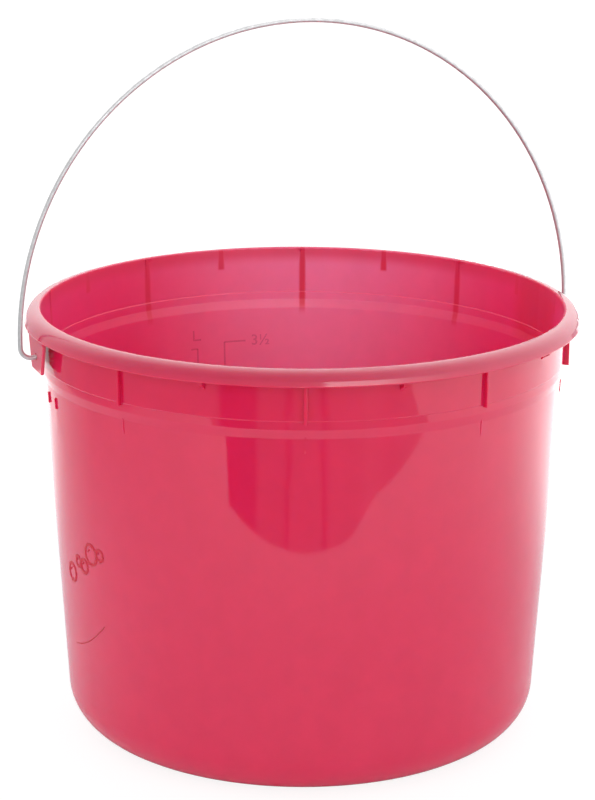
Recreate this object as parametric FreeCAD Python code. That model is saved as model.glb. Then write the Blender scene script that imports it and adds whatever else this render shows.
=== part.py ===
"""Wash bucket: a moulded plastic pail and the wire bail that swings in its two ears.

Millimetres. +Z is up, the origin is the centre of the foot on the ground, and the ears lie on
the X axis. The bail is drawn where it stands: upright, leaning a little towards +Y.
"""
import FreeCAD, Part
import math
import os

from FreeCAD import Vector

# ---- driving dimensions -------------------------------------------------------------------
PAIL_HEIGHT = 261.5        # foot to the top of the lip
LIP_RADIUS = 168.0         # outer edge of the lip
MOUTH_RADIUS = 157.6       # clear opening at the top
BASE_RADIUS = 143.3        # where the straight wall would meet the ground
WALL = 2.0                 # plastic wall, floor and lip

# ---- rolled lip: it turns over with a wide round and ends in a flared band --------------------
LIP_BOTTOM = PAIL_HEIGHT - 8.5
LIP_FLARE = math.radians(22.0)
LIP_ROUND = 8.4
LIP_INNER_ROUND = 5.0
LIP_EDGE_ROUND = 0.6
LIP_ROOT_ROUND = 0.5
MOUTH_ROUND = 1.0

# ---- collar between the lip and the main wall: three fine lines run round it -------------------
COLLAR_TOP_RADIUS = 159.2
BEAD_Z = PAIL_HEIGHT - 30.2
NECK_Z = PAIL_HEIGHT - 35.0
SHOULDER_Z = PAIL_HEIGHT - 40.4
BEAD_RADIUS = 158.8
BEAD_LEDGE = 0.4
BEAD_ROUND = 0.5
NECK_RADIUS = 158.2
SHOULDER_RADIUS = 156.7
COLLAR_ROUND = 3.0

# ---- bottom ---------------------------------------------------------------------------------------
CORNER_RADIUS = 25.4
FOOT_INNER_RADIUS = 112.0
FLOOR_RAISE = 3.0          # the floor stands this much above the foot ring
FLOOR_RAMP = 4.0
FLOOR_ROUND = 2.0
GATE_RADIUS = 5.0          # moulding gate under the middle of the floor
GATE_TAPER = 1.0
GATE_DROP = 1.4
FLOOR_RING_RADII = (36.0, 74.0)
FLOOR_RING_WIDTH = 2.0
FLOOR_RING_DROP = 0.8

# ---- ribs on the collar: angles from +X ----------------------------------------------------------
RIB_THICKNESS = 2.0
RIB_NOSE_ROUND = 0.5
RIB_ROOT = 1.0             # how far a rib is sunk into the wall that carries it
LONG_RIB_ANGLES = (30, 70, 110, 150, 210, 250.6, 290, 330)
LONG_RIB_RADIUS = 161.5
LONG_RIB_BOTTOM = SHOULDER_Z + 0.8
LONG_RIB_TOE = 1.2
GUSSET_ANGLES = (50, 90, 130, 230, 270, 310)
GUSSET_RADIUS = 164.0
GUSSET_BOTTOM = PAIL_HEIGHT - 13.2
GUSSET_SLOPE = 2.0
TAIL_BOTTOM = PAIL_HEIGHT - 49.0   # a hairline carries each long rib a little way down the wall
TAIL_PROUD = 0.35
TAIL_THICKNESS = 0.9
TAIL_RUN_OUT = 2.0

# ---- ears: a tab hangs from the lip on each side ---------------------------------------------------
EAR_INNER_X = 163.8
EAR_OUTER_X = 165.6
EAR_ROOT_X = 167.0
EAR_HALF_WIDTH_TOP = 18.0
EAR_HALF_WIDTH_BOTTOM = 10.8
EAR_BOTTOM = PAIL_HEIGHT - 29.4
EAR_CORNER = 1.8
EAR_BEVEL = 0.5
EAR_ROOT_DEPTH = 2.7       # the tab thickens over this much height where it joins the lip
EAR_ROOT_SHOULDER = 0.6
EAR_HOLE_RADIUS = 2.0
PEG_ANGLE = 2.8            # two short ribs on the wall under each ear, either side of its middle
PEG_PROUD = 0.9
PEG_THICKNESS = 1.2
PEG_TOP = PAIL_HEIGHT - 44.5
PEG_BOTTOM = PAIL_HEIGHT - 51.0
PEG_EDGE = 0.4

# ---- wire bail --------------------------------------------------------------------------------------
HINGE_Z = PAIL_HEIGHT - 20.5
WIRE_RADIUS = 1.4
BAIL_HALF_WIDTH = 174.8    # of the crown, which is half an ellipse
CROWN_HEIGHT = 181.0
BAIL_LEG = 8.5             # straight wire between the hinge and the crown
BAIL_LEAN = 0.6            # degrees towards +Y from upright
HOOK_X = 161.6             # the upturned end, in the gap between the ear and the collar
HOOK_LENGTH = 9.8
HOOK_SLOPE = math.radians(9.0)
HOOK_BEND = 2.9
LEG_BEND = 6.5

AXIS_FOOT = Vector(0, 0, 0)
UP = Vector(0, 0, 1)
SUNK = 0.5                 # added pieces overlap the moulding by this much


def rounded_corner(before, point, after, radius):
    """Start, middle and end of the tangent arc that rounds a corner."""
    inward = (before - point).normalize()
    onward = (after - point).normalize()
    half_turn = inward.getAngle(onward) / 2
    reach = radius / math.tan(half_turn)
    centre = point + (inward + onward).normalize() * (radius / math.sin(half_turn))
    middle = centre + (point - centre).normalize() * radius
    return point + inward * reach, middle, point + onward * reach


def rounded_run(points, closed):
    """Edges in the XZ plane along (x, z) or (x, z, radius) points, whose corners are rounded."""
    places = [Vector(step[0], 0, step[1]) for step in points]
    count = len(points)
    edges = []
    ends = []
    for index, step in enumerate(points):
        start = finish = places[index]
        if len(step) == 3:
            before = places[index - 1]
            after = places[(index + 1) % count]
            start, middle, finish = rounded_corner(before, places[index], after, step[2])
            edges.append(Part.Arc(start, middle, finish).toShape())
        ends.append((start, finish))
    for index in range(count if closed else count - 1):
        onward = ends[(index + 1) % count][0]
        edges.append(Part.LineSegment(ends[index][1], onward).toShape())
    return Part.Wire(Part.__sortEdges__(edges))


def turned(points):
    """The solid that an outline sweeps out round the Z axis."""
    return Part.Face(rounded_run(points, True)).revolve(AXIS_FOOT, UP, 360)


def plate(points, thickness):
    """A flat plate whose outline lies in the XZ plane, centred on it."""
    shape = Part.Face(rounded_run(points, True)).extrude(Vector(0, thickness, 0))
    shape.translate(Vector(0, -thickness / 2, 0))
    return shape


def at_angle(shape, angle):
    """A copy of a shape, turned about the Z axis."""
    copy = shape.copy()
    copy.rotate(AXIS_FOOT, UP, angle)
    return copy


def wall_radius(z):
    """Outer radius of the main wall at a height."""
    return BASE_RADIUS + (SHOULDER_RADIUS - BASE_RADIUS) * z / SHOULDER_Z


def lip_edge(z):
    """Outer radius of the flared band of the lip at a height."""
    return LIP_RADIUS - (z - LIP_BOTTOM) * math.tan(LIP_FLARE)


def pail_shell():
    """Wall, floor, collar and lip as one moulding of even thickness."""
    outside = [
        (0, FLOOR_RAISE),
        (FOOT_INNER_RADIUS - FLOOR_RAMP, FLOOR_RAISE, FLOOR_ROUND),
        (FOOT_INNER_RADIUS, 0, FLOOR_ROUND),
        (BASE_RADIUS, 0, CORNER_RADIUS),
        (SHOULDER_RADIUS, SHOULDER_Z, COLLAR_ROUND),
        (NECK_RADIUS, NECK_Z, COLLAR_ROUND),
        (BEAD_RADIUS - BEAD_LEDGE, BEAD_Z, BEAD_ROUND),
        (BEAD_RADIUS, BEAD_Z + BEAD_LEDGE, BEAD_ROUND),
    ]
    lip_under = PAIL_HEIGHT - WALL
    lip = [
        (COLLAR_TOP_RADIUS, lip_under, LIP_ROOT_ROUND),
        (lip_edge(lip_under) - WALL, lip_under, LIP_INNER_ROUND),
        (LIP_RADIUS - WALL, LIP_BOTTOM, LIP_EDGE_ROUND),
        (LIP_RADIUS, LIP_BOTTOM, LIP_EDGE_ROUND),
        (lip_edge(PAIL_HEIGHT), PAIL_HEIGHT, LIP_ROUND),
        (MOUTH_RADIUS, PAIL_HEIGHT, MOUTH_ROUND),
    ]
    ramp_foot = FOOT_INNER_RADIUS + WALL / 2
    inside = [
        (BEAD_RADIUS - WALL, BEAD_Z + BEAD_LEDGE, BEAD_ROUND),
        (BEAD_RADIUS - BEAD_LEDGE - WALL, BEAD_Z, BEAD_ROUND),
        (NECK_RADIUS - WALL, NECK_Z, COLLAR_ROUND),
        (SHOULDER_RADIUS - WALL, SHOULDER_Z, COLLAR_ROUND),
        (wall_radius(WALL) - WALL, WALL, CORNER_RADIUS - WALL),
        (ramp_foot, WALL, FLOOR_ROUND),
        (ramp_foot - FLOOR_RAMP, FLOOR_RAISE + WALL, FLOOR_ROUND),
        (0, FLOOR_RAISE + WALL),
    ]
    return turned(outside + lip + inside)


def inside_lip():
    """Everything inboard of the middle of the lip's thickness, which trims what hangs from it."""
    half_wall = WALL / 2
    top = PAIL_HEIGHT - half_wall
    band = LIP_RADIUS - half_wall
    low = EAR_BOTTOM - EAR_CORNER
    return turned([
        (0, low),
        (band, low),
        (band, LIP_BOTTOM),
        (lip_edge(top) - half_wall, top, LIP_ROUND - half_wall),
        (0, top),
    ])


def long_rib():
    """Upright rib from under the lip down to the shoulder, with a rounded nose."""
    root = NECK_RADIUS - RIB_ROOT
    rib = plate([
        (root, LONG_RIB_BOTTOM),
        (LONG_RIB_RADIUS, LONG_RIB_BOTTOM, LONG_RIB_TOE),
        (LONG_RIB_RADIUS, PAIL_HEIGHT),
        (root, PAIL_HEIGHT),
    ], RIB_THICKNESS)
    nose = [edge for edge in rib.Edges if is_nose(edge)]
    return rib.makeFillet(RIB_NOSE_ROUND, nose)


def is_nose(edge):
    """True for an outer edge of a rib plate: along its face, at the nose or its toe."""
    middle = edge.CenterOfMass
    along_face = abs(edge.BoundBox.YLength) < 1e-6
    return along_face and middle.x > LONG_RIB_RADIUS - LONG_RIB_TOE


def rib_tail():
    """Hairline below a long rib, on the main wall, running out at its lower end."""
    high = SHOULDER_Z + 1.0
    run_out = TAIL_BOTTOM + TAIL_RUN_OUT
    return plate([
        (wall_radius(TAIL_BOTTOM) - RIB_ROOT, TAIL_BOTTOM),
        (wall_radius(TAIL_BOTTOM), TAIL_BOTTOM),
        (wall_radius(run_out) + TAIL_PROUD, run_out),
        (wall_radius(high) + TAIL_PROUD, high),
        (wall_radius(high) - RIB_ROOT, high),
    ], TAIL_THICKNESS)


def gusset():
    """Short web that stiffens the lip."""
    root = COLLAR_TOP_RADIUS - RIB_ROOT
    return plate([
        (root, GUSSET_BOTTOM - GUSSET_SLOPE),
        (COLLAR_TOP_RADIUS + GUSSET_SLOPE / 2, GUSSET_BOTTOM),
        (GUSSET_RADIUS, GUSSET_BOTTOM + GUSSET_SLOPE),
        (GUSSET_RADIUS, PAIL_HEIGHT),
        (root, PAIL_HEIGHT),
    ], RIB_THICKNESS)


def ear_blank(thickness):
    """The outline of an ear, given this thickness outward from its inner face."""
    points = [
        (-EAR_HALF_WIDTH_TOP, PAIL_HEIGHT),
        (-EAR_HALF_WIDTH_TOP, LIP_BOTTOM),
        (-EAR_HALF_WIDTH_BOTTOM, EAR_BOTTOM, EAR_CORNER),
        (EAR_HALF_WIDTH_BOTTOM, EAR_BOTTOM, EAR_CORNER),
        (EAR_HALF_WIDTH_TOP, LIP_BOTTOM),
        (EAR_HALF_WIDTH_TOP, PAIL_HEIGHT),
    ]
    blank = Part.Face(rounded_run(points, True)).extrude(Vector(0, thickness, 0))
    blank.rotate(AXIS_FOOT, UP, -90)
    blank.translate(Vector(EAR_INNER_X, 0, 0))
    return blank


def ear(trim):
    """The tab on the +X side, with its hole. It thickens where it joins the lip."""
    tab = ear_blank(EAR_OUTER_X - EAR_INNER_X)
    rim = [edge for edge in tab.Edges if edge.BoundBox.XMin > EAR_OUTER_X - 1e-6]
    tab = tab.makeChamfer(EAR_BEVEL, [edge for edge in rim if edge.BoundBox.ZMin < LIP_BOTTOM - 1])
    root = plate([
        (EAR_INNER_X, LIP_BOTTOM - EAR_ROOT_DEPTH),
        (EAR_OUTER_X - EAR_BEVEL, LIP_BOTTOM - EAR_ROOT_DEPTH),
        (EAR_ROOT_X, LIP_BOTTOM - EAR_ROOT_SHOULDER),
        (EAR_ROOT_X, PAIL_HEIGHT),
        (EAR_INNER_X, PAIL_HEIGHT),
    ], 2 * EAR_HALF_WIDTH_TOP).common(ear_blank(EAR_ROOT_X - EAR_INNER_X))
    bore_start = Vector(EAR_INNER_X - WALL, 0, HINGE_Z)
    hole = Part.makeCylinder(EAR_HOLE_RADIUS, 4 * WALL, bore_start, Vector(1, 0, 0))
    return tab.fuse(root).common(trim).cut(hole)


def ear_peg():
    """One of the two short ribs on the wall under an ear."""
    return plate([
        (wall_radius(PEG_BOTTOM) - RIB_ROOT, PEG_BOTTOM),
        (wall_radius(PEG_BOTTOM) + PEG_PROUD, PEG_BOTTOM, PEG_EDGE),
        (wall_radius(PEG_TOP) + PEG_PROUD, PEG_TOP, PEG_EDGE),
        (wall_radius(PEG_TOP) - RIB_ROOT, PEG_TOP),
    ], PEG_THICKNESS)


def floor_details():
    """Gate and two rings under the floor."""
    top = FLOOR_RAISE + SUNK
    low = FLOOR_RAISE - GATE_DROP
    pieces = [Part.makeCone(GATE_RADIUS - GATE_TAPER, GATE_RADIUS, top - low, Vector(0, 0, low))]
    for radius in FLOOR_RING_RADII:
        pieces.append(turned([
            (radius, top),
            (radius, FLOOR_RAISE - FLOOR_RING_DROP),
            (radius + FLOOR_RING_WIDTH, FLOOR_RAISE - FLOOR_RING_DROP),
            (radius + FLOOR_RING_WIDTH, top),
        ]))
    return pieces


def make_pail():
    trim = inside_lip()
    rib = long_rib()
    tail = rib_tail()
    web = gusset()
    tab = ear(trim)
    peg = ear_peg()
    added = floor_details()
    for angle in LONG_RIB_ANGLES:
        added.append(at_angle(rib, angle).common(trim))
        added.append(at_angle(tail, angle))
    for angle in GUSSET_ANGLES:
        added.append(at_angle(web, angle).common(trim))
    for side in (0, 180):
        added.append(at_angle(tab, side))
        added.append(at_angle(peg, side - PEG_ANGLE))
        added.append(at_angle(peg, side + PEG_ANGLE))
    return pail_shell().fuse(added)


def make_bail():
    """Round wire swept along hook, leg, crown, leg and hook, then leant back about the hinge."""
    ear_middle = (EAR_INNER_X + EAR_OUTER_X) / 2

    def run_height(x):
        return HINGE_Z - (x - ear_middle) * math.tan(HOOK_SLOPE)

    crown_base = HINGE_Z + BAIL_LEG
    end = rounded_run([
        (HOOK_X, HINGE_Z + HOOK_LENGTH),
        (HOOK_X, run_height(HOOK_X), HOOK_BEND),
        (BAIL_HALF_WIDTH, run_height(BAIL_HALF_WIDTH), LEG_BEND),
        (BAIL_HALF_WIDTH, crown_base),
    ], False)
    other_end = end.mirror(AXIS_FOOT, Vector(1, 0, 0))
    ellipse = Part.Ellipse(
        Vector(0, 0, crown_base + CROWN_HEIGHT),
        Vector(BAIL_HALF_WIDTH, 0, crown_base),
        Vector(0, 0, crown_base),
    )
    crown = ellipse.toShape(-math.pi / 2, math.pi / 2)
    path = Part.Wire(Part.__sortEdges__(end.Edges + [crown] + other_end.Edges))
    section = Part.makeCircle(WIRE_RADIUS, Vector(HOOK_X, 0, HINGE_Z + HOOK_LENGTH), UP)
    wire = path.makePipeShell([Part.Wire(section)], True, True)
    wire.rotate(Vector(0, 0, HINGE_Z), Vector(1, 0, 0), -BAIL_LEAN)
    return wire


def main():
    os.makedirs("parts", exist_ok=True)
    nodes = {
        "pail": make_pail(),
        "wire_bail": make_bail(),
    }
    for name, shape in nodes.items():
        shape.exportStep("parts/" + name + ".step")


main()
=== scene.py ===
"""Looks for the wash bucket: camera, studio, materials and the fine relief on the moulding."""
import math

import bmesh
import bpy
from mathutils import Matrix, Vector


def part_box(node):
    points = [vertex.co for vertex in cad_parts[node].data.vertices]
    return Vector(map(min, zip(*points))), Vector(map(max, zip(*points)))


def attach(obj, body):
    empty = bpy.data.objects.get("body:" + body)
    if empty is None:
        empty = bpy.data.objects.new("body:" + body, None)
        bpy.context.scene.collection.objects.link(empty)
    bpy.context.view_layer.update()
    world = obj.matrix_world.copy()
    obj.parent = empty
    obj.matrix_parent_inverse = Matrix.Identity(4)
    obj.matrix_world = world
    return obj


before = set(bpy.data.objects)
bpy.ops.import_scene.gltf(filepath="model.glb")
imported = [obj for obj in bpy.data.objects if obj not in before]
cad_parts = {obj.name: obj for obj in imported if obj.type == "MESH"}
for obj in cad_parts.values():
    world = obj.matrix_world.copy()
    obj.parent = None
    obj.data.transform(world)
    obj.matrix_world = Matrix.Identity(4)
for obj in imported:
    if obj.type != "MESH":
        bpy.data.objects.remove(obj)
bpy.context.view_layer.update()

# ---- places taken from the frame ------------------------------------------------------------------
PAIL_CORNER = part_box("pail")[1]
LIP_RADIUS = PAIL_CORNER.x
LIP_Z = PAIL_CORNER.z
MM = 0.001

# ---- camera ---------------------------------------------------------------------------------------
CAMERA_AZIMUTH = math.radians(-20.0)
CAMERA_ELEVATION = math.radians(15.56)
CAMERA_DISTANCE = 9.0 * LIP_RADIUS
CAMERA_AIM_BELOW_LIP = 0.368 * LIP_RADIUS
CAMERA_SIDESTEP = 2.75 * MM
CAMERA_ROLL = math.radians(0.3)
CAMERA_LENS = 111.24                      # millimetres, as is the sensor
CAMERA_SENSOR = 36.0
RIGHTWARD = Vector((math.cos(CAMERA_AZIMUTH), math.sin(CAMERA_AZIMUTH), 0.0))
AWAY = Vector((-math.sin(CAMERA_AZIMUTH), math.cos(CAMERA_AZIMUTH), 0.0))

# ---- studio: a level of 1 shows as plain white; right and back are as the camera sees them ---------
ROOM_LEVEL = 1.27                         # at the horizon
ROOM_TOP_GAIN = -0.46                     # added straight up, for matt surfaces
MIRRORED_RIGHT_GAIN = 0.5                 # this and the next three are for what is mirrored
MIRRORED_BACK_GAIN = 0.1
MIRRORED_HIGH_BACK_GAIN = 2.0
MIRRORED_HIGH_FRONT_GAIN = 0.9            # taken off
FLOOR_SIZE = 20.0                         # from the middle to each side
FLOOR_TINT = (0.92, 0.92, 0.97)
FLOOR_ROUGHNESS = 0.9
FLOOR_SEEN_BASE = 0.15
FLOOR_SEEN_GLOW = 0.88
FLOOR_LIT_Z = -0.3 * MM
BRIGHT_FLOOR_Z = 0.3 * MM
BRIGHT_FLOOR_SIZE = 3.0                   # from the middle to each side
BRIGHT_FLOOR_FADE = (0.28, 0.75)          # distances from the pail between which it comes in
DIM_FLOOR_Z = 0.5 * MM
WINDOW_AZIMUTH = math.radians(30.5)       # to the right of the camera
WINDOW_ELEVATION = math.radians(21.0)
WINDOW_DISTANCE = 2.5
WINDOW_SIZE = (3.2, 0.66)
TOP_GLOW = 10.0                           # the level that a colour ramp's white stands for

# ---- pail: depths below the lip top, and angles from +X ----------------------------------------------
RIB_SPACING = 40.0                        # degrees, as are the next four
FIRST_RIB = 30.0
FIRST_GUSSET = 50.0
# the shades below are painted shade inside, where less light comes through the thick plastic
RIB_SHADE_WIDTH = 1.1                     # to each side of a rib, where its painted shade starts
RIB_SHADE_CORE = 0.385                    # to each side, where the painted shade is strongest
RIB_SHADE_DEPTHS = (46 * MM, 37 * MM)     # in each pair, no shade at the first, full shade at the second
GUSSET_SHADE_DEPTHS = (14.5 * MM, 12.5 * MM)
EAR_SHADE_ANGLES = (13.0, 7.0)            # degrees
EAR_SHADE_DEPTHS = (46 * MM, 36 * MM)
LIP_SHADE_DEPTHS = (12 * MM, 3 * MM)
LIP_SHADE = 0.7
BEAD_SHADE_DEPTHS = (50 * MM, 42 * MM)
BEAD_SHADE = 0.5
FLOOR_TOP = 5.0 * MM                      # above the ground
GALLON = 3.785e-3                         # cubic metres
LITRE = 1e-3
MARKS_ANGLE = math.radians(89.7)
LITRES_ANGLE = math.radians(96.9)
EMBLEM_ANGLE = math.radians(191.5)
EMBLEM_DEPTH = 140.0 * MM
EMBLEM_TILT = math.radians(30.0)

# ---- fine relief --------------------------------------------------------------------------------------
RELIEF_HEIGHT = 0.35 * MM
TEXT_BEVEL = 0.1 * MM
STROKE_STEP = 2 * MM                      # the longest, so that a stroke follows the wall
MARK_WIDTH = 1.3 * MM
GALLON_TICK = 14.5 * MM
GALLON_NUMBER_PLACE = 25 * MM
GALLON_NUMBER_SIZE = 10 * MM
LITRE_TICK = 8 * MM
SHORT_LITRE_TICK = 4.5 * MM
LITRE_NUMBER_PLACE = -15 * MM
LITRE_NUMBER_SIZE = 8 * MM
BUBBLE_WIDTH = 2.4 * MM
GLINT_WIDTH = 1.0 * MM
EMBLEM_LINE_HEIGHT = 0.2 * MM
EMBLEM_LINE_WIDTH = 0.8 * MM
EMBLEM_LINE_DROP = 50 * MM
EMBLEM_LINE_REACH = 20 * MM               # from its middle to each end
EMBLEM_LINE_LIFT = 4 * MM                 # of its ends, as it curves up

# ---- colours and surfaces -----------------------------------------------------------------------------
OUTSIDE_RED = (0.70, 0.012, 0.088)
# painted shade: the outside turns deeper red towards the lip top
LIP_SHADE_RED = (0.52, 0.010, 0.075)
# the plastic's red inside, made lighter and pinker with painted light that comes through the wall
INSIDE_LIT_RED = (0.81, 0.021, 0.165)
# painted sheen: a paler zone on the inside, where the satin wall's gloss is painted into its colour
PAINTED_SHEEN_RED = (0.88, 0.23, 0.46)
PAINTED_SHEEN_ANGLE = 66.0                       # degrees from +X, where the painted sheen inside is strongest
PAINTED_SHEEN_WIDTH = 56.0                       # degrees to each side, where it ends
# painted shade inside, behind ribs, gussets, ears, lip and bead
SHADED_RED = (0.75, 0.010, 0.092)
MARK_RED = (0.90, 0.02, 0.09)
EMBLEM_RED = (0.78, 0.008, 0.045)
POLISHED_ROUGHNESS = 0.045
SATIN_ROUGHNESS = 0.48
DARK_ZINC = (0.55, 0.555, 0.56)
PALE_ZINC = (0.66, 0.66, 0.67)


class Nodes:
    """Short calls that add and link the nodes of one tree."""

    def __init__(self, tree):
        self.tree = tree

    def add(self, kind, inputs=None, **settings):
        node = self.tree.nodes.new(kind)
        for name, value in settings.items():
            setattr(node, name, value)
        for name, value in (inputs or {}).items():
            self.put(node.inputs[name], value)
        return node

    def put(self, socket, value):
        if isinstance(value, bpy.types.NodeSocket):
            self.tree.links.new(value, socket)
        else:
            socket.default_value = value

    def math(self, operation, first, second=0.0, third=0.0):
        node = self.tree.nodes.new("ShaderNodeMath")
        node.operation = operation
        for socket, value in zip(node.inputs, (first, second, third)):
            self.put(socket, value)
        return node.outputs[0]

    def ramp(self, value, low, high, start=0.0, end=1.0):
        """value from low to high becomes start to end, eased and held outside."""
        node = self.add("ShaderNodeMapRange", {
            "Value": value, "From Min": low, "From Max": high, "To Min": start, "To Max": end,
        }, interpolation_type="SMOOTHSTEP")
        return node.outputs["Result"]

    def mix(self, factor, first, second):
        node = self.add("ShaderNodeMix", data_type="RGBA")
        for name, value in (("Factor", factor), ("A", first), ("B", second)):
            fits = (s for s in node.inputs if s.name == name and (s.type == "RGBA" or name == "Factor"))
            self.put(next(fits), value)
        return next(s for s in node.outputs if s.type == "RGBA")


def colour(red, green, blue):
    return (red, green, blue, 1.0)


def grey(level):
    return colour(level, level, level)


def new_material(name):
    material = bpy.data.materials.new(name)
    material.use_nodes = True
    nodes = Nodes(material.node_tree)
    return material, nodes, material.node_tree.nodes["Principled BSDF"]


# ---- camera and studio --------------------------------------------------------------------------------
def make_camera():
    level = math.cos(CAMERA_ELEVATION)
    to_camera = -AWAY * level + Vector((0.0, 0.0, math.sin(CAMERA_ELEVATION)))
    aim = Vector((0.0, 0.0, LIP_Z - CAMERA_AIM_BELOW_LIP)) - RIGHTWARD * CAMERA_SIDESTEP
    data = bpy.data.cameras.new("camera")
    data.lens = CAMERA_LENS
    data.sensor_width = CAMERA_SENSOR
    data.clip_end = 100.0
    camera = bpy.data.objects.new("camera", data)
    bpy.context.scene.collection.objects.link(camera)
    look = (-to_camera).to_track_quat("-Z", "Y").to_matrix().to_4x4()
    roll = Matrix.Rotation(CAMERA_ROLL, 4, "Z")
    camera.matrix_world = Matrix.Translation(aim + to_camera * CAMERA_DISTANCE) @ look @ roll
    bpy.context.scene.camera = camera
    bpy.context.scene.view_settings.view_transform = "Standard"


def make_world():
    """A white room, dimmer overhead to matt surfaces.

    Mirrored, it is brighter on the right and high at the back, and dimmer high in front.
    """
    world = bpy.data.worlds.new("room")
    bpy.context.scene.world = world
    world.use_nodes = True
    nodes = Nodes(world.node_tree)
    background = world.node_tree.nodes["Background"]
    direction = nodes.add("ShaderNodeTexCoord").outputs["Generated"]

    def along(axis):
        node = nodes.add("ShaderNodeVectorMath", operation="DOT_PRODUCT")
        nodes.put(node.inputs[0], direction)
        nodes.put(node.inputs[1], axis)
        return node.outputs["Value"]

    rise = nodes.math("MAXIMUM", along(Vector((0, 0, 1))), 0.0)
    level = nodes.math("MULTIPLY_ADD", rise, ROOM_TOP_GAIN, ROOM_LEVEL)
    mirrored = nodes.math("MULTIPLY_ADD", along(RIGHTWARD), MIRRORED_RIGHT_GAIN, ROOM_LEVEL)
    back = nodes.math("MAXIMUM", along(AWAY), 0.0)
    back_gain = nodes.math("MULTIPLY_ADD", rise, MIRRORED_HIGH_BACK_GAIN, MIRRORED_BACK_GAIN)
    mirrored = nodes.math("MULTIPLY_ADD", back, back_gain, mirrored)
    front = nodes.math("MINIMUM", along(AWAY), 0.0)
    front_gain = nodes.math("MULTIPLY", rise, MIRRORED_HIGH_FRONT_GAIN)
    mirrored = nodes.math("MULTIPLY_ADD", front, front_gain, mirrored)
    path = nodes.add("ShaderNodeLightPath")
    glossy = path.outputs["Is Glossy Ray"]
    level = nodes.math("ADD", level, nodes.math("MULTIPLY", glossy, nodes.math("SUBTRACT", mirrored, level)))
    nodes.put(background.inputs["Strength"], nodes.math("MAXIMUM", level, path.outputs["Is Camera Ray"]))
    background.inputs["Color"].default_value = grey(1.0)


def flat_piece(name, corners, material):
    """One face of the stage, which isn't part of the object."""
    mesh = bpy.data.meshes.new(name)
    mesh.from_pydata([tuple(c) for c in corners], [], [tuple(range(len(corners)))])
    mesh.materials.append(material)
    piece = bpy.data.objects.new(name, mesh)
    bpy.context.scene.collection.objects.link(piece)
    return piece


def square(half, height):
    return [(-half, -half, height), (half, -half, height), (half, half, height), (-half, half, height)]


def make_floor():
    """White paper, in two pieces: one that lights the object, and a whiter one that the camera sees."""
    material, _, shader = new_material("paper")
    shader.inputs["Base Color"].default_value = colour(*FLOOR_TINT)
    shader.inputs["Roughness"].default_value = FLOOR_ROUGHNESS
    lit = flat_piece("floor_lit", square(FLOOR_SIZE, FLOOR_LIT_Z), material)
    lit.visible_camera = False
    material, _, shader = new_material("paper_seen")
    shader.inputs["Base Color"].default_value = grey(FLOOR_SEEN_BASE)
    shader.inputs["Roughness"].default_value = FLOOR_ROUGHNESS
    shader.inputs["Emission Color"].default_value = grey(1.0)
    shader.inputs["Emission Strength"].default_value = FLOOR_SEEN_GLOW
    seen = flat_piece("floor_seen", square(FLOOR_SIZE, 0.0), material)
    seen.visible_diffuse = False
    seen.visible_glossy = False
    seen.visible_transmission = False
    seen.visible_shadow = False


def glow_round(name, stops, fade=None):
    """A light whose level changes with the direction from the pail.

    stops are pairs of degrees to the right of the camera and level. fade is the distances from the
    pail between which the light comes in, if it isn't whole everywhere.
    """
    material = bpy.data.materials.new(name)
    material.use_nodes = True
    tree = material.node_tree
    tree.nodes.remove(tree.nodes["Principled BSDF"])
    nodes = Nodes(tree)
    place = nodes.add("ShaderNodeSeparateXYZ", {"Vector": nodes.add("ShaderNodeTexCoord").outputs["Object"]})
    x, y = place.outputs["X"], place.outputs["Y"]
    turn = nodes.math("ARCTAN2", x, nodes.math("MULTIPLY", y, -1.0))
    share = nodes.math("MULTIPLY_ADD", turn, 0.5 / math.pi, 0.5)
    ramp = nodes.add("ShaderNodeValToRGB", {"Fac": share})
    points = ramp.color_ramp.elements
    while len(points) < len(stops):
        points.new(1.0)
    for point, (degrees, level) in zip(points, stops):
        point.position = degrees / 360.0 + 0.5
        point.color = grey(level / TOP_GLOW)
    strength = nodes.math("MULTIPLY", ramp.outputs["Color"], TOP_GLOW)
    surface = nodes.add("ShaderNodeEmission", {"Color": grey(1.0), "Strength": strength}).outputs[0]
    if fade:
        distance = nodes.math("SQRT", nodes.math("MULTIPLY_ADD", x, x, nodes.math("MULTIPLY", y, y)))
        blend = nodes.add("ShaderNodeMixShader", {"Fac": nodes.ramp(distance, *fade)})
        nodes.put(blend.inputs[1], nodes.add("ShaderNodeBsdfTransparent").outputs[0])
        nodes.put(blend.inputs[2], surface)
        surface = blend.outputs[0]
    nodes.put(tree.nodes["Material Output"].inputs["Surface"], surface)
    return material


def place_reflected(piece):
    """Turn a piece that is drawn with +X to the camera's right, and show it only in reflections."""
    piece.rotation_euler.z = CAMERA_AZIMUTH
    piece.visible_camera = False
    piece.visible_diffuse = False
    piece.visible_transmission = False
    piece.visible_shadow = False


def make_dark_floor():
    """The dim floor beyond the paper sheet, which only reflections see."""
    corners = [
        (0.56, -0.44), (0.40, -0.468), (0.26, -0.492), (0.15, -0.463), (0.0, -0.466), (-0.254, -0.478),
        (-0.324, -0.576), (-0.52, -0.65), (-0.72, -0.35), (-0.78, 0.1), (-0.72, 0.6), (-0.45, 0.85),
        (-1.6, 2.9), (-3.0, 2.2), (-3.0, -4.0), (2.2, -4.0),
    ]
    stops = [
        (-179, 0.65), (-140, 0.65), (-132, 0.4), (-100, 0.4), (-60, 0.5), (-32.5, 0.45), (-32, 0.08),
        (-17.5, 0.12), (-16.5, 0.40), (-6.5, 0.36), (-5.5, 0.14), (-4.5, 0.42), (7.5, 0.44), (8.5, 0.18),
        (10.5, 0.48), (23, 0.50), (25, 0.60), (35, 0.48), (46, 0.62), (60, 0.55), (70, 0.9),
    ]
    card = flat_piece("dim_floor", [(x, y, DIM_FLOOR_Z) for x, y in corners], glow_round("dim", stops))
    place_reflected(card)


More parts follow.
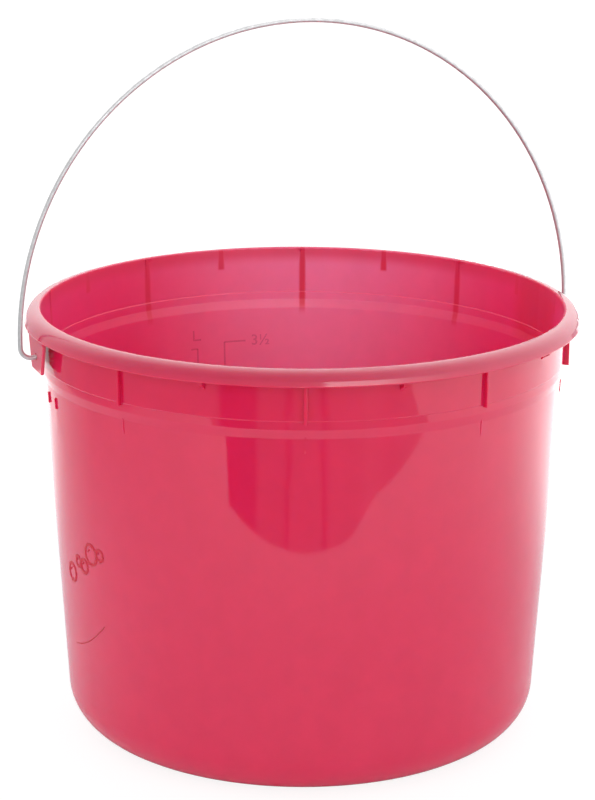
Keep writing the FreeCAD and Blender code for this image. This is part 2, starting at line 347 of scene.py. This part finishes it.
def make_bright_floor():
    """The paper away from the pail, dim on the left and bright behind, which only reflections see."""
    stops = [
        (-179, 2.0), (-144, 1.8), (-120, 0.95), (-95, 0.65), (-40, 1.0), (0, 1.3), (45, 1.2), (93, 1.4),
        (125, 2.2), (150, 2.5), (179, 2.2),
    ]
    material = glow_round("bright", stops, BRIGHT_FLOOR_FADE)
    place_reflected(flat_piece("bright_floor", square(BRIGHT_FLOOR_SIZE, BRIGHT_FLOOR_Z), material))


def make_window():
    """A long soft box in front and to the right, above the horizon, brightest at its left end."""
    level = math.cos(WINDOW_ELEVATION)
    outward = Vector((
        math.sin(WINDOW_AZIMUTH) * level,
        -math.cos(WINDOW_AZIMUTH) * level,
        math.sin(WINDOW_ELEVATION),
    ))
    side = Vector((math.cos(WINDOW_AZIMUTH), math.sin(WINDOW_AZIMUTH), 0.0))
    up = outward.cross(side)
    half_width, half_height = WINDOW_SIZE[0] / 2, WINDOW_SIZE[1] / 2
    centre = outward * WINDOW_DISTANCE + Vector((0, 0, LIP_Z))
    corners = [
        centre + side * half_width * x - up * half_height * y
        for x, y in ((-1, -1), (1, -1), (1, 1), (-1, 1))
    ]
    material = glow_round("window_light", [(0, 4.2), (32, 3.6), (42, 2.2), (68, 1.5)])
    place_reflected(flat_piece("window", corners, material))


# ---- materials ----------------------------------------------------------------------------------------
def rib_shade(nodes, turn, first):
    """1 along the lines at first, first + RIB_SPACING and so on, the same on both sides of the X axis."""
    shifted = nodes.math("ADD", turn, RIB_SPACING / 2 - first)
    off = nodes.math("SUBTRACT", nodes.math("FLOORED_MODULO", shifted, RIB_SPACING), RIB_SPACING / 2)
    return nodes.ramp(nodes.math("ABSOLUTE", off), RIB_SHADE_WIDTH, RIB_SHADE_CORE)


def thick_shade(nodes, turn, depth, lip, slope):
    """Painted shade inside: how much less light comes through where ribs, gussets, ears, lip and bead make
    the wall thick.
    """
    long_rib = rib_shade(nodes, turn, FIRST_RIB)
    long_rib = nodes.math("MULTIPLY", long_rib, nodes.ramp(depth, *RIB_SHADE_DEPTHS))
    gusset = rib_shade(nodes, turn, FIRST_GUSSET)
    gusset = nodes.math("MULTIPLY", gusset, nodes.ramp(depth, *GUSSET_SHADE_DEPTHS))
    from_ear = nodes.math("MINIMUM", turn, nodes.math("SUBTRACT", 180.0, turn))
    ear = nodes.ramp(from_ear, *EAR_SHADE_ANGLES)
    ear = nodes.math("MULTIPLY", ear, nodes.ramp(depth, *EAR_SHADE_DEPTHS))
    shade = nodes.math("MAXIMUM", nodes.math("MAXIMUM", long_rib, gusset), nodes.math("MAXIMUM", ear, lip))
    # painted shade on the sloping ledges inside, near the bead
    bead = nodes.ramp(depth, *BEAD_SHADE_DEPTHS, 0.0, BEAD_SHADE)
    bead = nodes.math("MULTIPLY", nodes.ramp(slope, 0.10, 0.5), bead)
    return nodes.math("MAXIMUM", shade, bead)


def mottle_and_flow(nodes, place):
    """Two noises: cloudy spots, and streaks that run up the wall as the plastic flowed."""
    mottle = nodes.add("ShaderNodeTexNoise", {
        "Vector": place, "Scale": 60.0, "Detail": 4.0, "Roughness": 0.6,
    }).outputs["Fac"]
    drawn_out = nodes.add("ShaderNodeVectorMath", operation="MULTIPLY")
    nodes.put(drawn_out.inputs[0], place)
    nodes.put(drawn_out.inputs[1], Vector((1.0, 1.0, 0.12)))
    flow = nodes.add("ShaderNodeTexNoise", {
        "Vector": drawn_out.outputs[0], "Scale": 45.0, "Detail": 3.0, "Roughness": 0.5,
    }).outputs["Fac"]
    return mottle, flow


def make_plastic():
    """Polished outside, satin inside, darker with painted shade where the plastic is thick, and paler inside
    with painted light through the wall and a painted sheen.
    """
    material, nodes, shader = new_material("pail_plastic")
    place = nodes.add("ShaderNodeTexCoord")
    spot = nodes.add("ShaderNodeSeparateXYZ", {"Vector": place.outputs["Object"]})
    facing = nodes.add("ShaderNodeSeparateXYZ", {"Vector": place.outputs["Normal"]})
    x, y, z = spot.outputs["X"], spot.outputs["Y"], spot.outputs["Z"]
    # the distance from the axis on a face that looks outward, and less than nothing on one inside
    outward = nodes.math("MULTIPLY", x, facing.outputs["X"])
    outward = nodes.math("MULTIPLY_ADD", y, facing.outputs["Y"], outward)
    inside = nodes.ramp(outward, -0.02, -0.06)
    depth = nodes.math("SUBTRACT", LIP_Z, z)
    turn = nodes.math("DEGREES", nodes.math("ARCTAN2", nodes.math("ABSOLUTE", y), x))
    lip = nodes.ramp(depth, *LIP_SHADE_DEPTHS, 0.0, LIP_SHADE)
    slope = nodes.math("ABSOLUTE", facing.outputs["Z"])
    shade = thick_shade(nodes, turn, depth, lip, slope)
    mottle, flow = mottle_and_flow(nodes, place.outputs["Object"])

    # painted sheen: the inside turns paler towards one angle, the same on the front and back halves
    from_sheen = nodes.math("ABSOLUTE", nodes.math("SUBTRACT", turn, PAINTED_SHEEN_ANGLE))
    sheen = nodes.ramp(from_sheen, PAINTED_SHEEN_WIDTH, 0.0)
    # painted shade on the outside, deeper red towards the lip top
    outer = nodes.mix(lip, colour(*OUTSIDE_RED), colour(*LIP_SHADE_RED))
    inner = nodes.mix(sheen, colour(*INSIDE_LIT_RED), colour(*PAINTED_SHEEN_RED))
    body = nodes.mix(inside, outer, inner)
    # painted shade inside, where less light comes through the thick plastic
    body = nodes.mix(nodes.math("MULTIPLY", shade, inside), body, colour(*SHADED_RED))
    tone = nodes.ramp(mottle, 0.3, 0.7, -0.02, 0.02)
    tone = nodes.math("ADD", tone, nodes.ramp(flow, 0.3, 0.7, -0.012, 0.012))
    varied = nodes.add("ShaderNodeHueSaturation", {"Color": body, "Value": nodes.math("ADD", tone, 1.0)})
    nodes.put(shader.inputs["Base Color"], varied.outputs[0])

    roughness = nodes.mix(inside, grey(POLISHED_ROUGHNESS), grey(SATIN_ROUGHNESS))
    spread = nodes.ramp(mottle, 0.35, 0.75, 0.0, 0.015)
    nodes.put(shader.inputs["Roughness"], nodes.math("ADD", roughness, spread))
    grain = nodes.math("ADD", nodes.math("MULTIPLY", mottle, 0.5), flow)
    bump = nodes.add("ShaderNodeBump", {"Height": grain, "Strength": 0.03, "Distance": 1.0 * MM})
    nodes.put(shader.inputs["Normal"], bump.outputs[0])
    shader.inputs["Subsurface Weight"].default_value = 1.0
    shader.inputs["Subsurface Radius"].default_value = (1.0, 0.2, 0.3)
    shader.inputs["Subsurface Scale"].default_value = 2.5 * MM
    shader.inputs["IOR"].default_value = 1.63
    return material


def make_relief_plastic(name, base, roughness, opacity):
    """Raised plastic the wall shows through, as it is one moulding with it."""
    material, nodes, shader = new_material(name)
    place = nodes.add("ShaderNodeTexCoord").outputs["Object"]
    grain = nodes.add("ShaderNodeTexNoise", {"Vector": place, "Scale": 900.0, "Detail": 2.0}).outputs["Fac"]
    dark = colour(*(0.8 * part for part in base))
    nodes.put(shader.inputs["Base Color"], nodes.mix(grain, dark, colour(*base)))
    nodes.put(shader.inputs["Roughness"], nodes.ramp(grain, 0.3, 0.7, roughness - 0.06, roughness + 0.06))
    shader.inputs["Alpha"].default_value = opacity
    return material


def make_wire():
    """Galvanised wire: cloudy zinc with a faint fine grain."""
    material, nodes, shader = new_material("bail_wire")
    place = nodes.add("ShaderNodeTexCoord").outputs["Object"]
    cloud = nodes.add("ShaderNodeTexNoise", {"Vector": place, "Scale": 260.0, "Detail": 5.0}).outputs["Fac"]
    zinc = nodes.mix(nodes.ramp(cloud, 0.3, 0.7), colour(*DARK_ZINC), colour(*PALE_ZINC))
    nodes.put(shader.inputs["Base Color"], zinc)
    nodes.put(shader.inputs["Roughness"], nodes.ramp(cloud, 0.3, 0.75, 0.5, 0.35))
    fine = nodes.add("ShaderNodeTexNoise", {"Vector": place, "Scale": 1500.0, "Detail": 2.0}).outputs["Fac"]
    bump = nodes.add("ShaderNodeBump", {"Height": fine, "Strength": 0.2, "Distance": 0.05 * MM})
    nodes.put(shader.inputs["Normal"], bump.outputs[0])
    shader.inputs["Metallic"].default_value = 0.75
    return material


# ---- fine relief: each piece is drawn flat, then laid on the wall -------------------------------------
class Relief:
    """A flat drawing in metres, x along the wall, y up and z out of it, which becomes one piece."""

    # the section of a stroke, in half widths and heights: it starts and ends a little inside the wall
    SECTION = ((-1.0, -0.5), (-0.7, 0.85), (0.0, 1.0), (0.7, 0.85), (1.0, -0.5))

    def __init__(self, height):
        self.height = height
        self.mesh = bmesh.new()

    def stroke(self, points, width):
        """A raised line along points, with sloping sides."""
        path = [Vector(p) for p in points]
        fine = [path[0]]
        for start, end in zip(path, path[1:]):
            steps = max(1, math.ceil((end - start).length / STROKE_STEP))
            fine += [start.lerp(end, step / steps) for step in range(1, steps + 1)]
        rows = []
        for index, point in enumerate(fine):
            along = fine[min(index + 1, len(fine) - 1)] - fine[max(index - 1, 0)]
            across = Vector((-along.y, along.x)).normalized() * width / 2
            rows.append([
                self.mesh.verts.new((*(point + across * side), self.height * up))
                for side, up in self.SECTION
            ])
        for row, after in zip(rows, rows[1:]):
            for k in range(len(row) - 1):
                self.mesh.faces.new((row[k], after[k], after[k + 1], row[k + 1]))
        self.mesh.faces.new(rows[0])
        self.mesh.faces.new(reversed(rows[-1]))

    def ring(self, centre, radius, width, count=28):
        turns = [2 * math.pi * k / count for k in range(count + 1)]
        around = [(math.cos(t), math.sin(t)) for t in turns]
        self.stroke([(centre[0] + radius * x, centre[1] + radius * y) for x, y in around], width)

    def text(self, body, place, size):
        """Numbers, which stand a bevel above the relief's height."""
        data = bpy.data.curves.new("text", "FONT")
        data.body = body
        data.size = size
        data.align_x = "CENTER"
        data.align_y = "CENTER"
        data.resolution_u = 3
        data.extrude = self.height / 2
        data.bevel_depth = TEXT_BEVEL
        data.offset = -TEXT_BEVEL / 2
        maker = bpy.data.objects.new("text", data)
        letters = bpy.data.meshes.new_from_object(maker)
        letters.transform(Matrix.Translation((place[0], place[1], self.height / 2)))
        self.mesh.from_mesh(letters)
        bpy.data.objects.remove(maker)
        bpy.data.curves.remove(data)
        bpy.data.meshes.remove(letters)

    def lay(self, name, angle, depth, side, material):
        """Wrap the drawing on the wall, outside for a side of 1 or inside for -1, and let it ride there."""
        mesh = bpy.data.meshes.new(name)
        for vertex in self.mesh.verts:
            across, up, out = vertex.co
            _, _, radius = wall_at(angle, depth - up, side)
            turn = angle + side * across / radius
            place, normal, _ = wall_at(turn, depth - up, side)
            vertex.co = place + normal * out
        bmesh.ops.recalc_face_normals(self.mesh, faces=self.mesh.faces)
        self.mesh.to_mesh(mesh)
        self.mesh.free()
        mesh.materials.append(material)
        for face in mesh.polygons:
            face.use_smooth = True
        piece = bpy.data.objects.new(name, mesh)
        bpy.context.scene.collection.objects.link(piece)
        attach(piece, "pail")


def wall_at(angle, depth, side):
    """Point, normal and radius of the wall outside, for a side of 1, or inside, for -1."""
    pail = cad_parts["pail"]
    ray = Vector((math.cos(angle), math.sin(angle), 0.0))
    height = Vector((0.0, 0.0, LIP_Z - depth))
    if side > 0:
        _, place, normal, _ = pail.ray_cast(height + ray * 2 * LIP_RADIUS, -ray)
    else:
        _, place, normal, _ = pail.ray_cast(height, ray)
    normal = Vector((ray.x * side, ray.y * side, normal.z)).normalized()
    return place, normal, Vector((place.x, place.y)).length


def depth_of_volume(volume):
    """Depth below the lip at which the pail holds this many cubic metres."""
    step = 0.5 * MM
    height, held = FLOOR_TOP, 0.0
    while held < volume:
        height += step
        held += math.pi * wall_at(MARKS_ANGLE, LIP_Z - height, -1)[2] ** 2 * step
    return LIP_Z - height


def make_marks(material):
    """Gallon and litre scales inside: an upright line, ticks and numbers each, and an L over the litres."""
    gallons = Relief(RELIEF_HEIGHT)
    top = depth_of_volume(3.5 * GALLON)
    low = depth_of_volume(0.5 * GALLON)
    gallons.stroke([(0, -low), (0, -top)], MARK_WIDTH)
    for half in range(1, 8):
        depth = depth_of_volume(half * GALLON / 2)
        gallons.stroke([(0, -depth), (GALLON_TICK, -depth)], MARK_WIDTH)
        whole = str(half // 2) if half > 1 else ""
        body = whole + ("\u00bd" if half % 2 else "")
        gallons.text(body, (GALLON_NUMBER_PLACE, -depth), GALLON_NUMBER_SIZE)
    gallons.lay("gallon_marks", MARKS_ANGLE, 0.0, -1, material)

    litres = Relief(RELIEF_HEIGHT)
    high = depth_of_volume(13 * LITRE)
    litres.stroke([(0, -depth_of_volume(2 * LITRE)), (0, -high)], MARK_WIDTH)
    for count in range(2, 14):
        depth = depth_of_volume(count * LITRE)
        reach = LITRE_TICK if count % 2 == 0 else SHORT_LITRE_TICK
        litres.stroke([(0, -depth), (-reach, -depth)], MARK_WIDTH)
        if count % 2 == 0:
            litres.text(str(count), (LITRE_NUMBER_PLACE, -depth), LITRE_NUMBER_SIZE)
    sign = ((-2.5, 12.5), (-2.5, 6.0), (2.5, 6.0))
    litres.stroke([(x * MM, y * MM - high) for x, y in sign], MARK_WIDTH)
    litres.lay("litre_marks", LITRES_ANGLE, 0.0, -1, material)


def make_emblem(material):
    """A plain emblem outside: a rising row of soap bubbles with a line under it."""
    emblem = Relief(RELIEF_HEIGHT)
    slope = math.tan(EMBLEM_TILT)
    # across, up from the slope, and radius, in millimetres
    bubbles = [(-17, -1, 5.5), (-6.5, 3, 3.2), (1.5, -2.5, 4.2), (10.5, 2, 6.2), (20, -1.5, 3.4)]
    for x, y, radius in bubbles:
        centre = (x * MM, (y + x * slope) * MM)
        emblem.ring(centre, radius * MM, BUBBLE_WIDTH)
        glint = [math.radians(t) for t in (110, 135, 160)]
        inner = 0.5 * radius * MM
        arc = [(centre[0] + inner * math.cos(t), centre[1] + inner * math.sin(t)) for t in glint]
        emblem.stroke(arc, GLINT_WIDTH)
    emblem.lay("bubble_emblem", EMBLEM_ANGLE, EMBLEM_DEPTH, 1, material)
    line = Relief(EMBLEM_LINE_HEIGHT)
    curve = []
    for share in (-1.0, -0.5, 0.0, 0.5, 1.0):
        x = share * EMBLEM_LINE_REACH
        curve.append((x, x * slope - EMBLEM_LINE_DROP + EMBLEM_LINE_LIFT * share ** 2))
    line.stroke(curve, EMBLEM_LINE_WIDTH)
    line.lay("emblem_line", EMBLEM_ANGLE, EMBLEM_DEPTH, 1, material)


make_camera()
make_world()
make_floor()
make_dark_floor()
make_bright_floor()
make_window()
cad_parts["pail"].material_slots[0].material = make_plastic()
make_marks(make_relief_plastic("mark_plastic", MARK_RED, roughness=0.4, opacity=0.22))
make_emblem(make_relief_plastic("emblem_plastic", EMBLEM_RED, roughness=0.5, opacity=0.8))
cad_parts["wire_bail"].material_slots[0].material = make_wire()
